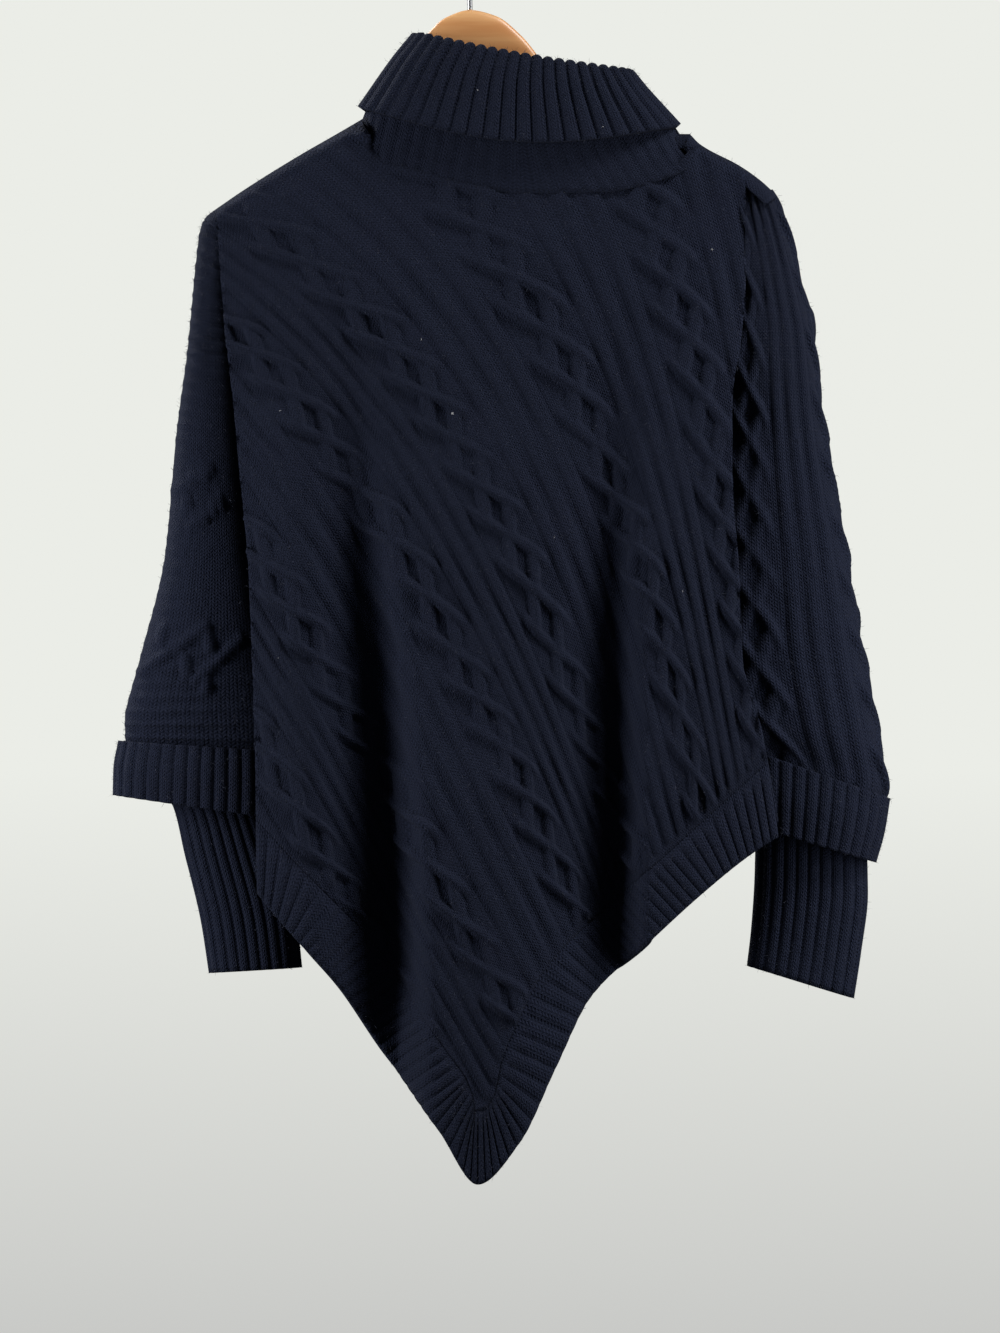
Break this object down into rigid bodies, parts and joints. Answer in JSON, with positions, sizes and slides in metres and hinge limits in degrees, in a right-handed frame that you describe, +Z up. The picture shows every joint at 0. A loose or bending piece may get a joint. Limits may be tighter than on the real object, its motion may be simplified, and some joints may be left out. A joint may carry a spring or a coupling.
{
  "type": "knitted poncho sweater on a wooden hanger",
  "caption": "Cable-knit poncho sweater with folded ribbed collar, ribbed cuffs and pointed hem, hanging flat on a wooden hanger with a wire hook.",
  "frame": {"origin": "inside top of the hanger's hook, where it rests on a rail", "axes": "+Z up, -Y towards the viewer of the shown side, +X to that viewer's right"},
  "size_m": [0.6014, 0.134, 0.9727],
  "materials": {
    "yarn": "dark navy wool knit, ribbed and cabled",
    "wood": "satin varnished",
    "wire": "bright drawn wire"
  },
  "bodies": {
    "root": {"body_front": "yarn", "body_back": "yarn", "sleeve_left": "yarn", "sleeve_right": "yarn", "band_left": "yarn", "band_right": "yarn", "cuff_left": "yarn", "cuff_right": "yarn", "collar": "yarn", "shoulder_left": "yarn", "shoulder_right": "yarn", "hem_front_left": "yarn", "hem_front_right": "yarn", "hem_back_left": "yarn", "hem_back_right": "yarn", "hanger_wood": "wood", "hanger_hook": "wire"}
  },
  "joints": []
}
